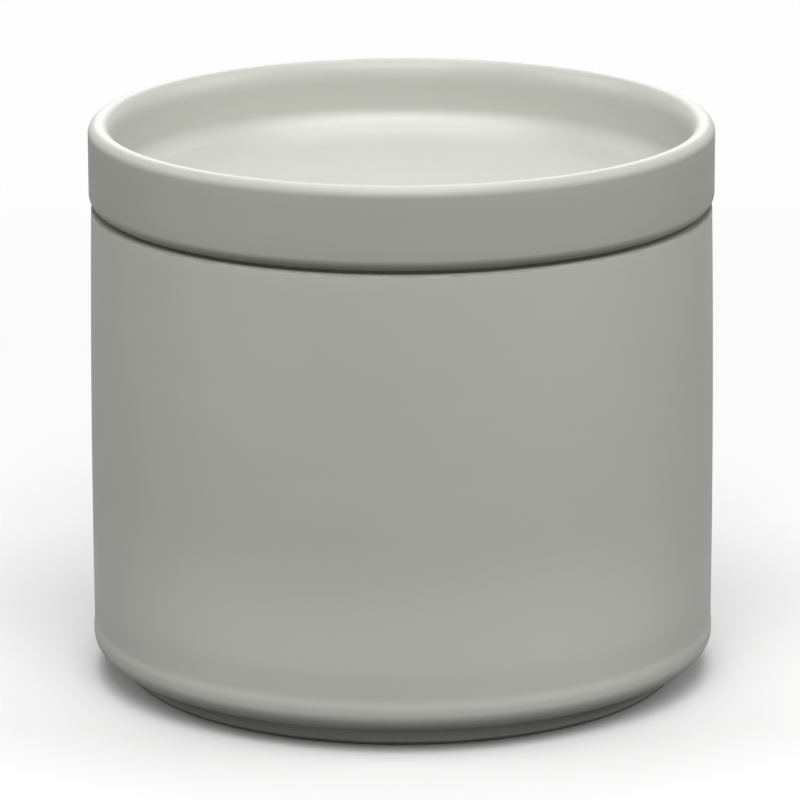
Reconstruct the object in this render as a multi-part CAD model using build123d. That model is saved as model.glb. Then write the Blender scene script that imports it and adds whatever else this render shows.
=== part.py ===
from build123d import *
import os

# A round lidded box of fired stoneware, in millimetres, standing on its foot ring at z = 0.
# Two pieces: the jar, and a drop-on lid whose top is a shallow tray.

# Jar, outside
rim_radius = 49.65
rim_height = 77.2
wall_lean = 0.35
wall_crown = 0.28
shoulder_round = 2.8
underside_rise = 0.5
foot_inset = 5.7
foot_height = 3.2
foot_edge_round = 0.6
foot_root_round = 0.5

# Jar, inside and underneath
rim_wall = 4.2
rim_outer_round = 0.3
rim_inner_round = 0.9
seat_inset = 1.9
seat_step = 0.45
seat_round = 0.15
floor_thickness = 5.0
floor_cove = 7.0
foot_ring_width = 4.6
foot_recess = 2.0
recess_cove = 1.2

# Lid with its tray
lid_height = 13.3
lid_overhang = 0.35
lid_lower_round = 2.0
tray_rim_wall = 4.0
tray_rim_round = 1.7
tray_crest_land = 0.15
tray_roll_depth = 4.0
tray_wall_lean = 0.5
tray_depth = 10.7
tray_cove = 2.8
lid_plate = 4.2

# The tray's inner rim rolls over as a quarter of an ellipse, given here in degrees
quarter_turn = 90

# Locating flange under the lid
flange_clearance = 0.6
flange_wall = 3.4
flange_depth = 5.6
flange_edge_round = 0.9
flange_root_round = 0.4

# Radii and heights that follow from the sizes above
shoulder_radius = rim_radius + wall_lean
mouth_radius = rim_radius - rim_wall
foot_radius = shoulder_radius - foot_inset
recess_radius = foot_radius - foot_ring_width
shoulder_height = foot_height + underside_rise
floor_height = foot_recess + floor_thickness
belly_radius = (shoulder_radius + rim_radius) / 2 + wall_crown
shelf_height = rim_height - seat_step
seat_radius = rim_radius - seat_inset
belly_height = (shoulder_height + shelf_height) / 2
lid_radius = rim_radius + lid_overhang
lid_top = rim_height + lid_height
tray_mouth_radius = lid_radius - tray_rim_wall
tray_floor_radius = tray_mouth_radius - tray_wall_lean
tray_floor_height = lid_top - tray_depth
tray_roll_width = tray_rim_wall - tray_rim_round - tray_crest_land
tray_wall_height = lid_top - tray_roll_depth
flange_radius = mouth_radius - flange_clearance
flange_bore_radius = flange_radius - flange_wall
flange_tip_height = rim_height - flange_depth
under_height = tray_floor_height - lid_plate


# A section drawn as radius and height, its corners rounded, then turned about the vertical axis
def turned(edges, rounds):
    section = make_face(edges)
    for corner, radius in rounds:
        section = fillet(section.vertices().sort_by_distance(corner)[0], radius)
    return revolve(Plane.XZ * section, Axis.Z)


# Jar: foot ring, rounded shoulder, gently crowned wall, rim with a raised seat, and coved floor
def jar():
    under_centre = (0, foot_recess)
    recess_root = (recess_radius, foot_recess)
    foot_inner = (recess_radius, 0)
    foot_outer = (foot_radius, 0)
    foot_root = (foot_radius, foot_height)
    shoulder = (shoulder_radius, shoulder_height)
    belly = (belly_radius, belly_height)
    rim_outer = (rim_radius, shelf_height)
    seat_root = (seat_radius, shelf_height)
    seat_edge = (seat_radius, rim_height)
    rim_inner = (mouth_radius, rim_height)
    floor_edge = (mouth_radius, floor_height)
    floor_centre = (0, floor_height)
    underside = Polyline(under_centre, recess_root, foot_inner, foot_outer, foot_root, shoulder)
    wall = ThreePointArc(shoulder, belly, rim_outer)
    inside = Polyline(rim_outer, seat_root, seat_edge, rim_inner, floor_edge, floor_centre, under_centre)
    rounds = [
        (recess_root, recess_cove),
        (foot_inner, foot_edge_round),
        (foot_outer, foot_edge_round),
        (foot_root, foot_root_round),
        (shoulder, shoulder_round),
        (rim_outer, rim_outer_round),
        (seat_root, seat_round),
        (seat_edge, seat_round),
        (rim_inner, rim_inner_round),
        (floor_edge, floor_cove),
    ]
    return turned(underside.edges() + wall.edges() + inside.edges(), rounds)


# Lid: locating flange below, rounded edge above the seam, and a coved tray inside a rolled rim
def lid():
    under_centre = (0, under_height)
    flange_bore_root = (flange_bore_radius, under_height)
    flange_tip_inner = (flange_bore_radius, flange_tip_height)
    flange_tip_outer = (flange_radius, flange_tip_height)
    flange_root = (flange_radius, rim_height)
    lower_edge = (lid_radius, rim_height)
    tray_rim_outer = (lid_radius, lid_top)
    roll_centre = (tray_mouth_radius + tray_roll_width, tray_wall_height)
    roll_start = (tray_mouth_radius + tray_roll_width, lid_top)
    roll_end = (tray_mouth_radius, tray_wall_height)
    tray_floor_edge = (tray_floor_radius, tray_floor_height)
    tray_centre = (0, tray_floor_height)
    flange = Polyline(under_centre, flange_bore_root, flange_tip_inner, flange_tip_outer, flange_root)
    outside = Polyline(flange_root, lower_edge, tray_rim_outer, roll_start)
    roll = EllipticalCenterArc(
        roll_centre, tray_roll_width, tray_roll_depth, start_angle=quarter_turn, arc_size=quarter_turn
    )
    tray = Polyline(roll_end, tray_floor_edge, tray_centre, under_centre)
    rounds = [
        (flange_bore_root, flange_root_round),
        (flange_tip_inner, flange_edge_round),
        (flange_tip_outer, flange_edge_round),
        (flange_root, flange_root_round),
        (lower_edge, lid_lower_round),
        (tray_rim_outer, tray_rim_round),
        (tray_floor_edge, tray_cove),
    ]
    return turned(flange.edges() + outside.edges() + roll.edges() + tray.edges(), rounds)


os.makedirs("parts", exist_ok=True)
export_step(jar(), "parts/jar.step")
export_step(lid(), "parts/lid.step")
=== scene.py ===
import math

import bmesh
import bpy
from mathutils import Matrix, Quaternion, Vector


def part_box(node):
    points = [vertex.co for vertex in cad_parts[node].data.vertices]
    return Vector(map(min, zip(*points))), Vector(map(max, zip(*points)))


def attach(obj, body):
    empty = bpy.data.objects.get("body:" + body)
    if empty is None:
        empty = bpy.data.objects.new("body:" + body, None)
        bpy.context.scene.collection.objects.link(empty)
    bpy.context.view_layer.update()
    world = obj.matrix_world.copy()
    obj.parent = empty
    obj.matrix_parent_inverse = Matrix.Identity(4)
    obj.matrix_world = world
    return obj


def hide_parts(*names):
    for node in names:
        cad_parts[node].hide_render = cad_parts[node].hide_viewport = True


# A round lidded box of stoneware under a satin-matt glaze: a straight-sided jar on a recessed
# foot ring, and a drop-on lid whose top is a shallow tray. Lengths are in metres.

MM = 0.001

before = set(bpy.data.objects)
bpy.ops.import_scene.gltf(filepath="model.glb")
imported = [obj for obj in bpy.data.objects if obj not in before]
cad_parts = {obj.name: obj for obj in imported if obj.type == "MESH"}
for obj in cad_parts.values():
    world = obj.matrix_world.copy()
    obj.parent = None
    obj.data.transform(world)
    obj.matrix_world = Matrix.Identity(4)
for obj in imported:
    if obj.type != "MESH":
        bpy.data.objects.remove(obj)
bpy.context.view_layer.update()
_, jar_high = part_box("jar")
lid_low, lid_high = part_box("lid")

# Jar sizes
rim_height = jar_high.z
rim_radius = 49.65 * MM
wall_lean = 0.35 * MM
wall_crown = 0.28 * MM
shoulder_round = 2.8 * MM
foot_inset = 5.7 * MM
foot_height = 3.2 * MM
underside_rise = 0.5 * MM
foot_edge_round = 0.6 * MM
foot_root_round = 0.5 * MM
foot_ring_width = 4.6 * MM
foot_recess = 2.0 * MM
recess_cove = 1.2 * MM
rim_wall = 4.2 * MM
rim_outer_round = 0.3 * MM
rim_inner_round = 0.9 * MM
seat_inset = 1.9 * MM
seat_step = 0.45 * MM
seat_round = 0.15 * MM
floor_thickness = 5.0 * MM
floor_cove = 7.0 * MM

# Lid sizes
lid_radius = lid_high.x
lid_top = lid_high.z
flange_tip_height = lid_low.z
lid_lower_round = 2.0 * MM
tray_rim_wall = 4.0 * MM
tray_rim_round = 1.7 * MM
tray_crest_land = 0.15 * MM
tray_roll_depth = 4.0 * MM
tray_wall_lean = 0.5 * MM
tray_depth = 10.7 * MM
tray_cove = 2.8 * MM
flange_clearance = 0.6 * MM
flange_wall = 3.4 * MM
lid_plate = 4.2 * MM
flange_edge_round = 0.9 * MM
flange_root_round = 0.4 * MM

# Glaze that has run down the wall and gathered in a faint roll where the wall turns under
roll_height = 7.2 * MM
roll_run_in = 2.0 * MM
roll_swell = 0.15 * MM

# Radii and heights that follow from the sizes above
shoulder_radius = rim_radius + wall_lean
mouth_radius = rim_radius - rim_wall
foot_radius = shoulder_radius - foot_inset
recess_radius = foot_radius - foot_ring_width
shoulder_height = foot_height + underside_rise
floor_height = foot_recess + floor_thickness
shelf_height = rim_height - seat_step
seat_radius = rim_radius - seat_inset
flange_radius = mouth_radius - flange_clearance
flange_bore_radius = flange_radius - flange_wall
tray_mouth_radius = lid_radius - tray_rim_wall
tray_floor_radius = tray_mouth_radius - tray_wall_lean
tray_floor_height = lid_top - tray_depth
cove_radius = tray_floor_radius - tray_cove
cove_top = tray_floor_height + tray_cove
under_height = tray_floor_height - lid_plate

# How finely the turned pieces are drawn
TURN_STEPS = 192
ROUND_STEPS = 12
ROLL_STEPS = 12
RUN_STEP = 2.5 * MM
MERGE_DISTANCE = 0.001 * MM

# Jar, painted light: a paler band low on the wall, painted bounce light from the floor, set by height and
# from the sides to the front
belt_top = 36 * MM
belt_full = 15 * MM
belt_stop = 14.5 * MM
belt_end = 12 * MM
belt_side = -18 * MM
belt_front = -45 * MM
belt_share_below = 0.6
belt_share_at_sides = 0.2

# Lid, painted highlight: a paler patch in the tray's cove, in the middle of the back
highlight_edge = 1 * MM
highlight_reach = 14 * MM
highlight_upper_fade = 2 * MM
highlight_upper_edge = 0.5 * MM
highlight_middle = 5 * MM
highlight_back = 30 * MM
highlight_half_width = 13 * MM
highlight_side = 30 * MM

# Jar, bare clay: the contact ring, the foot's wall that shows a little clay, and the rim's wiped top. The
# clay on the foot's wall also darkens it as painted shade under the overhanging shoulder, and the clay over
# the rim's outer corner is also painted shade in the seam under the lid
contact_height = 0.5 * MM
contact_edge = 0.2 * MM
foot_edge = 0.6 * MM
foot_share = 0.3
rim_edge = rim_height - seat_step - rim_outer_round
rim_edge_fade = 0.15 * MM

# Lid, bare clay: the flat underside, and the flange from a little outside its bore
underside_start = 0.05 * MM
underside_end = 0.2 * MM
bore_start = 0.3 * MM
bore_end = 0.5 * MM

# Parts that hands rub sleek: how far below its top the lid's crest is rubbed, and the tray's wall, up to
# how far inside the lid's edge
crest_start = 1.5 * MM
crest_full = 0.3 * MM
wall_edge = 1 * MM
wall_inside = 3.3 * MM
wall_outside = 2.5 * MM

# Patterns in the glaze: how far apart their marks lie, and how high they stand. The level marks are long
# and run round the piece
cloud_spacing = 24 * MM
level_spacing = 3.5 * MM
level_length = 111 * MM
level_relief = 0.03 * MM
level_share = 0.35
dull_patch_spacing = 8 * MM
skin_spacing = 1.8 * MM
skin_relief = 0.01 * MM
soft_relief = 0.3

# Patterns in the bare clay and at its edge. The sand in the real clay is about 0.2 mm, which is too fine
# to show, so it is drawn three times as coarse
ragged_spacing = 5 * MM
ragged_reach = 0.15 * MM
sand_spacing = 0.6 * MM
sand_relief = 0.06 * MM
clay_dark = "#8F8E85"
clay_light = "#A6A59B"

# Roughness of the glaze, satin in some patches and matt in others, of what is rubbed sleek, and of clay
satin_roughness = 0.65
matt_roughness = 0.75
sleek_roughness = 0.32
clay_roughness = 0.9

# Each zone is a list of limits. A limit names a length, the two values of it between which the zone's
# share changes smoothly, and the share at each
# Painted light: a paler band low on the jar's wall, strongest at the front
jar_painted_light_zones = [
    [
        ("height", belt_top, belt_full, 0.0, 1.0),
        ("height", belt_stop, belt_end, 1.0, belt_share_below),
        ("y", belt_side, belt_front, belt_share_at_sides, 1.0),
    ]
]
# Painted highlight: a paler patch in the back of the lid's tray cove
lid_painted_highlight_zones = [
    [
        ("radius", tray_mouth_radius, tray_mouth_radius + highlight_edge, 1.0, 0.0),
        ("radius", cove_radius - highlight_reach, cove_radius + highlight_edge, 0.0, 1.0),
        ("height", cove_top - highlight_upper_fade, cove_top + highlight_upper_edge, 1.0, 0.0),
        ("y", highlight_middle, highlight_back, 0.0, 1.0),
        ("x", -highlight_side, -highlight_half_width, 0.0, 1.0),
        ("x", highlight_half_width, highlight_side, 1.0, 0.0),
    ]
]
jar_bare_zones = [
    [("ragged height", contact_height, contact_height + contact_edge, 1.0, 0.0)],
    # Partly painted shade: the foot's wall shows a little clay, which darkens it under the overhanging
    # shoulder
    [("ragged height", foot_height, foot_height + foot_edge, foot_share, 0.0)],
    # Partly painted shade: this clay starts on the rim's outer corner and darkens the seam under the lid;
    # the wiped seat above it is real
    [("ragged height", rim_edge, rim_edge + rim_edge_fade, 0.0, 1.0)],
]
lid_bare_zones = [
    [
        ("ragged height", rim_height + underside_start, rim_height + underside_end, 1.0, 0.0),
        ("radius", flange_bore_radius + bore_start, flange_bore_radius + bore_end, 0.0, 1.0),
    ]
]
rubbed_zones = [
    [("height", lid_top - crest_start, lid_top - crest_full, 0.0, 1.0)],
    [
        ("height", cove_top - wall_edge, cove_top + wall_edge, 0.0, 1.0),
        ("radius", lid_radius - wall_inside, lid_radius - wall_outside, 1.0, 0.0),
    ],
]


# Colours are written as sRGB hex and turned to linear here
def linear(code):
    channels = [int(code[i : i + 2], 16) / 255 for i in (1, 3, 5)]
    return [c / 12.92 if c <= 0.04045 else ((c + 0.055) / 1.055) ** 2.4 for c in channels] + [1.0]


# Adds one node, with its settings by property or input name, and its links by input name
def add(tree, kind, settings=None, links=None):
    node = tree.nodes.new(kind)
    for key, value in (settings or {}).items():
        if isinstance(key, str) and hasattr(node, key):
            setattr(node, key, value)
        else:
            node.inputs[key].default_value = value
    for key, source in (links or {}).items():
        tree.links.new(source, node.inputs[key])
    return node


# A section of radius, height and corner rounding, turned full circle about the vertical axis
def turned(name, corners, swell=None):
    bm = bmesh.new()
    section = [bm.verts.new((radius, 0, height)) for radius, height, _ in corners]
    for start, end in zip(section, section[1:]):
        bm.edges.new((start, end))
    for vert, (_, _, rounding) in zip(section, corners):
        if rounding:
            bmesh.ops.bevel(
                bm, geom=[vert], offset=rounding, offset_type="OFFSET", segments=ROUND_STEPS,
                profile=0.5, affect="VERTICES", material=-1,
            )
    for edge in bm.edges[:]:
        cuts = int(edge.calc_length() / RUN_STEP)
        if cuts:
            bmesh.ops.subdivide_edges(bm, edges=[edge], cuts=cuts)
    if swell:
        swell(bm.verts)
    bmesh.ops.spin(
        bm, geom=bm.verts[:] + bm.edges[:], cent=(0, 0, 0), axis=(0, 0, 1),
        angle=2 * math.pi, steps=TURN_STEPS, use_merge=True,
    )
    bmesh.ops.remove_doubles(bm, verts=bm.verts, dist=MERGE_DISTANCE)
    bmesh.ops.recalc_face_normals(bm, faces=bm.faces)
    for face in bm.faces:
        face.smooth = True
    mesh = bpy.data.meshes.new(name)
    bm.to_mesh(mesh)
    bm.free()
    piece = bpy.data.objects.new(name, mesh)
    bpy.context.scene.collection.objects.link(piece)
    return piece


# Moves the jar's outer wall out to its crown, and to the roll of glaze low down on it
def swell_wall(verts):
    middle = (shoulder_height + shelf_height) / 2
    half_span = (shelf_height - shoulder_height) / 2
    for vert in verts:
        if vert.co.x > (mouth_radius + rim_radius) / 2:
            crown = max(0, 1 - ((vert.co.z - middle) / half_span) ** 2)
            above = (vert.co.z - roll_height) / roll_run_in
            below = (roll_height - vert.co.z) / (roll_height - shoulder_height)
            roll = (1 + math.cos(math.pi * min(1, max(above, below)))) / 2
            vert.co.x += wall_crown * crown + roll_swell * roll


# Jar: foot ring, rounded shoulder, gently crowned wall, rounded rim and coved floor
def make_jar():
    roll_points = []
    for step in range(ROLL_STEPS + 1):
        height = roll_height + roll_run_in * step / ROLL_STEPS
        share = (height - shoulder_height) / (shelf_height - shoulder_height)
        roll_points.append((shoulder_radius + (rim_radius - shoulder_radius) * share, height, 0))
    corners = [
        (0, foot_recess, 0),
        (recess_radius, foot_recess, recess_cove),
        (recess_radius, 0, foot_edge_round),
        (foot_radius, 0, foot_edge_round),
        (foot_radius, foot_height, foot_root_round),
        (shoulder_radius, shoulder_height, shoulder_round),
        *roll_points,
        (rim_radius, shelf_height, rim_outer_round),
        (seat_radius, shelf_height, seat_round),
        (seat_radius, rim_height, seat_round),
        (mouth_radius, rim_height, rim_inner_round),
        (mouth_radius, floor_height, floor_cove),
        (0, floor_height, 0),
    ]
    return turned("jar_body", corners, swell_wall)


# Lid: locating flange below, rounded edge above the seam, rounded rim and coved tray on top
def make_lid():
    roll_width = tray_rim_wall - tray_rim_round - tray_crest_land
    roll_points = []
    for step in range(ROLL_STEPS + 1):
        angle = math.pi / 2 * step / ROLL_STEPS
        across = tray_mouth_radius + roll_width * (1 - math.sin(angle))
        height = lid_top - tray_roll_depth * (1 - math.cos(angle))
        roll_points.append((across, height, 0))
    corners = [
        (0, under_height, 0),
        (flange_bore_radius, under_height, flange_root_round),
        (flange_bore_radius, flange_tip_height, flange_edge_round),
        (flange_radius, flange_tip_height, flange_edge_round),
        (flange_radius, rim_height, flange_root_round),
        (lid_radius, rim_height, lid_lower_round),
        (lid_radius, lid_top, tray_rim_round),
        *roll_points,
        (tray_floor_radius, tray_floor_height, tray_cove),
        (0, tray_floor_height, 0),
    ]
    return turned("lid_body", corners)


# How far a place lies within any of several zones, from 0 to 1: each zone's limits are multiplied
# together, and the zone with the greatest share counts
def within(tree, lengths, zones):
    greatest = None
    for limits in zones:
        share = None
        for length, start, end, share_at_start, share_at_end in limits:
            limit = add(
                tree, "ShaderNodeMapRange",
                {
                    "interpolation_type": "SMOOTHSTEP", "From Min": start, "From Max": end,
                    "To Min": share_at_start, "To Max": share_at_end,
                },
                {"Value": lengths[length]},
            ).outputs["Result"]
            if share is not None:
                both = add(tree, "ShaderNodeMath", {"operation": "MULTIPLY"}, {0: share, 1: limit})
                limit = both.outputs[0]
            share = limit
        if greatest is not None:
            larger = add(tree, "ShaderNodeMath", {"operation": "MAXIMUM"}, {0: greatest, 1: share})
            share = larger.outputs[0]
        greatest = share
    return greatest


# Satin-matt glaze over slip-cast stoneware: a smooth, half-dull skin of drifting depth, so its tone clouds
# softly over centimetres, and carries faint level marks from the turned mould. Set patches are painted
# paler
# and made sleeker: painted bounce light in a band low on the jar's front wall, and a painted highlight at
# the back of the lid's tray cove. The lid's crest and the wall of its tray are rubbed sleek by handling, so
# they catch the light. Where the glaze was wiped off, the dry, sandy grey clay shows; on the foot's wall
# and over the rim's outer corner that clay also stands in as painted shade
def satin_matt_glaze(name, deep, pale, painted_light_colour, painted_light_zones, bare_zones):
    material = bpy.data.materials.new(name)
    material.use_nodes = True
    tree = material.node_tree
    tree.nodes.clear()
    place = add(tree, "ShaderNodeTexCoord").outputs["Object"]
    axes = add(tree, "ShaderNodeSeparateXYZ", None, {"Vector": place}).outputs
    across = add(tree, "ShaderNodeVectorMath", {"operation": "MULTIPLY", 1: (1, 1, 0)}, {0: place})
    radius = add(tree, "ShaderNodeVectorMath", {"operation": "LENGTH"}, {0: across.outputs["Vector"]})

    patterns = {}
    for pattern, spacing, detail in [
        ("cloud", cloud_spacing, 3.0),
        ("ragged", ragged_spacing, 3.0),
        ("sand", sand_spacing, 2.0),
        ("dull", dull_patch_spacing, 2.0),
        ("skin", skin_spacing, 1.0),
    ]:
        noise = add(tree, "ShaderNodeTexNoise", {"Scale": 1 / spacing, "Detail": detail}, {"Vector": place})
        patterns[pattern] = noise.outputs["Fac"]
    level_scale = (1 / level_length, 1 / level_length, 1 / level_spacing)
    stretched = add(tree, "ShaderNodeMapping", {"Scale": level_scale}, {"Vector": place})
    level = add(
        tree, "ShaderNodeTexNoise", {"Scale": 1.0, "Detail": 2.0}, {"Vector": stretched.outputs["Vector"]}
    ).outputs["Fac"]

    wobble = add(
        tree, "ShaderNodeMapRange", {"To Min": -ragged_reach, "To Max": ragged_reach},
        {"Value": patterns["ragged"]},
    ).outputs["Result"]
    ragged = add(tree, "ShaderNodeMath", {"operation": "ADD"}, {0: axes["Z"], 1: wobble})
    lengths = {
        "x": axes["X"],
        "y": axes["Y"],
        "height": axes["Z"],
        "ragged height": ragged.outputs[0],
        "radius": radius.outputs["Value"],
    }
    painted_light_share = within(tree, lengths, painted_light_zones)
    bare = within(tree, lengths, bare_zones)
    rubbed = within(tree, lengths, rubbed_zones)

    drift = add(
        tree, "ShaderNodeMix", {"data_type": "FLOAT", 0: level_share}, {2: patterns["cloud"], 3: level}
    ).outputs[0]
    tone = add(
        tree, "ShaderNodeMix", {"data_type": "RGBA", 6: linear(deep), 7: linear(pale)}, {0: drift}
    ).outputs[2]
    # Painted light: paler where the painted-light zones lie
    glaze = add(
        tree, "ShaderNodeMix", {"data_type": "RGBA", 7: linear(painted_light_colour)}, {0: painted_light_share, 6: tone}
    ).outputs[2]
    clay = add(
        tree, "ShaderNodeMix", {"data_type": "RGBA", 6: linear(clay_dark), 7: linear(clay_light)},
        {0: patterns["sand"]},
    ).outputs[2]
    colour = add(tree, "ShaderNodeMix", {"data_type": "RGBA"}, {0: bare, 6: glaze, 7: clay}).outputs[2]

    sheen = add(
        tree, "ShaderNodeMapRange", {"To Min": satin_roughness, "To Max": matt_roughness},
        {"Value": patterns["dull"]},
    ).outputs["Result"]
    sleek = add(tree, "ShaderNodeMath", {"operation": "MAXIMUM"}, {0: painted_light_share, 1: rubbed}).outputs[0]
    glazed = add(
        tree, "ShaderNodeMix", {"data_type": "FLOAT", 3: sleek_roughness}, {0: sleek, 2: sheen}
    ).outputs[0]
    roughness = add(
        tree, "ShaderNodeMix", {"data_type": "FLOAT", 3: clay_roughness}, {0: bare, 2: glazed}
    ).outputs[0]

    levels = add(
        tree, "ShaderNodeBump", {"Strength": soft_relief, "Distance": level_relief}, {"Height": level}
    )
    skin = add(
        tree, "ShaderNodeBump", {"Strength": soft_relief, "Distance": skin_relief},
        {"Height": patterns["skin"], "Normal": levels.outputs["Normal"]},
    )
    grain = add(
        tree, "ShaderNodeBump", {"Distance": sand_relief},
        {"Strength": bare, "Height": patterns["sand"], "Normal": skin.outputs["Normal"]},
    )
    shader = add(
        tree, "ShaderNodeBsdfPrincipled", {"IOR": 1.45},
        {"Base Color": colour, "Roughness": roughness, "Normal": grain.outputs["Normal"]},
    )
    add(tree, "ShaderNodeOutputMaterial", None, {"Surface": shader.outputs["BSDF"]})
    return material


# 1 where a thing is seen straight, in a reflection or through glass, and 0 where it only gives light
def seen_by_eye(tree):
    ray = add(tree, "ShaderNodeLightPath").outputs
    seen = ray["Is Camera Ray"]
    for way in ("Is Glossy Ray", "Is Transmission Ray"):
        seen = add(tree, "ShaderNodeMath", {"operation": "MAXIMUM"}, {0: seen, 1: ray[way]}).outputs[0]
    return seen


# Plain pale floor: white where the eye sees it, darker in what it throws back on the box. Away from the
# box and its shadow, what the eye sees of it passes into an even white
def make_floor():
    half_width = 2.0
    shadow_end = 100 * MM
    white_start = 400 * MM
    bm = bmesh.new()
    bmesh.ops.create_grid(bm, x_segments=1, y_segments=1, size=half_width)
    mesh = bpy.data.meshes.new("floor")
    bm.to_mesh(mesh)
    bm.free()
    floor = bpy.data.objects.new("floor", mesh)
    bpy.context.scene.collection.objects.link(floor)
    material = bpy.data.materials.new("pale_floor")
    material.use_nodes = True
    tree = material.node_tree
    tree.nodes.clear()
    seen = seen_by_eye(tree)
    colour = add(
        tree, "ShaderNodeMix", {"data_type": "RGBA", 6: linear("#404040"), 7: linear("#EEEEEE")}, {0: seen}
    )
    shader = add(tree, "ShaderNodeBsdfDiffuse", None, {"Color": colour.outputs[2]})
    place = add(tree, "ShaderNodeTexCoord").outputs["Object"]
    reach = add(tree, "ShaderNodeVectorMath", {"operation": "LENGTH"}, {0: place}).outputs["Value"]
    even = within(tree, {"reach": reach}, [[("reach", shadow_end, white_start, 0.0, 1.0)]])
    seen_white = add(tree, "ShaderNodeMath", {"operation": "MULTIPLY"}, {0: seen, 1: even}).outputs[0]
    white = add(tree, "ShaderNodeEmission", {"Color": linear("#FEFEFE"), "Strength": 1.0})
    surface = add(
        tree, "ShaderNodeMixShader", None,
        {0: seen_white, 1: shader.outputs["BSDF"], 2: white.outputs["Emission"]},
    )
    add(tree, "ShaderNodeOutputMaterial", None, {"Surface": surface.outputs["Shader"]})
    mesh.materials.append(material)


# Soft light: a world that is white to the eye and gives only a faint even light, and large square lamps
# aimed at the box. Each lamp is given by its elevation and its bearing from the front, counted towards
# the right, in degrees, its distance and width in metres, and its watts
def make_light():
    strength_given = 0.03
    strength_seen = 0.99
    world = bpy.data.worlds.new("studio")
    bpy.context.scene.world = world
    world.use_nodes = True
    tree = world.node_tree
    tree.nodes.clear()
    strength = add(
        tree, "ShaderNodeMix", {"data_type": "FLOAT", 2: strength_given, 3: strength_seen},
        {0: seen_by_eye(tree)},
    ).outputs[0]
    back = add(tree, "ShaderNodeBackground", {"Color": (1.0, 1.0, 1.0, 1.0)}, {"Strength": strength})
    add(tree, "ShaderNodeOutputWorld", None, {"Surface": back.outputs["Background"]})
    aim = Vector((0, 0, 50 * MM))
    lamps = [
        ("front_softbox", 59, 0, 1.2, 0.8, 9.9),
        ("front_fill", 20, 0, 1.2, 0.6, 1.7),
        ("front_right_fill", 40, 45, 1.2, 0.7, 0.8),
        ("top_softbox", 75, 180, 1.1, 0.6, 3.3),
        ("back_fill", 28, 180, 1.2, 0.7, 2.4),
        ("left_softbox", 35, -90, 1.1, 0.6, 3.0),
        ("right_softbox", 35, 90, 1.1, 0.6, 3.3),
    ]
    for name, elevation, bearing, distance, width, watts in lamps:
        rise = math.radians(elevation)
        turn = math.radians(bearing)
        level_way = math.cos(rise)
        towards = Vector((math.sin(turn) * level_way, -math.cos(turn) * level_way, math.sin(rise)))
        lamp = bpy.data.lights.new(name, "AREA")
        lamp.shape = "SQUARE"
        lamp.size = width
        lamp.energy = watts
        holder = bpy.data.objects.new(name, lamp)
        bpy.context.scene.collection.objects.link(holder)
        holder.location = towards * distance
        holder.rotation_mode = "QUATERNION"
        holder.rotation_quaternion = (aim - holder.location).to_track_quat("-Z", "Y")


# Camera at the photograph's viewing angle
def make_camera():
    distance = 1.0
    elevation = 0.258
    aim = Vector((-0.35 * MM, 0, 44.14 * MM))
    roll = -0.003
    data = bpy.data.cameras.new("camera")
    data.lens = 278.9
    data.sensor_width = 36.0
    camera = bpy.data.objects.new("camera", data)
    bpy.context.scene.collection.objects.link(camera)
    back = Vector((0, -math.cos(elevation), math.sin(elevation)))
    camera.location = aim + back * distance
    camera.rotation_mode = "QUATERNION"
    camera.rotation_quaternion = (-back).to_track_quat("-Z", "Y") @ Quaternion((0, 0, 1), roll)
    data.clip_end = 10.0
    bpy.context.scene.camera = camera


bpy.context.scene.view_settings.view_transform = "Standard"
make_camera()
make_light()
make_floor()

jar = make_jar()
# The jar's last colour is painted light, for the paler band low on its front wall
jar.data.materials.append(
    satin_matt_glaze(
        "jar_glaze", deep="#C6C7C0", pale="#CECFC8", painted_light_colour="#DADBD4",
        painted_light_zones=jar_painted_light_zones, bare_zones=jar_bare_zones,
    )
)
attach(jar, "jar")
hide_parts("jar")

lid = make_lid()
# The lid's last colour is a painted highlight in the back of its tray's cove
lid.data.materials.append(
    satin_matt_glaze(
        "lid_glaze", deep="#B6B7B0", pale="#BEBFB7", painted_light_colour="#CFD0C9",
        painted_light_zones=lid_painted_highlight_zones, bare_zones=lid_bare_zones,
    )
)
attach(lid, "lid")
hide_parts("lid")
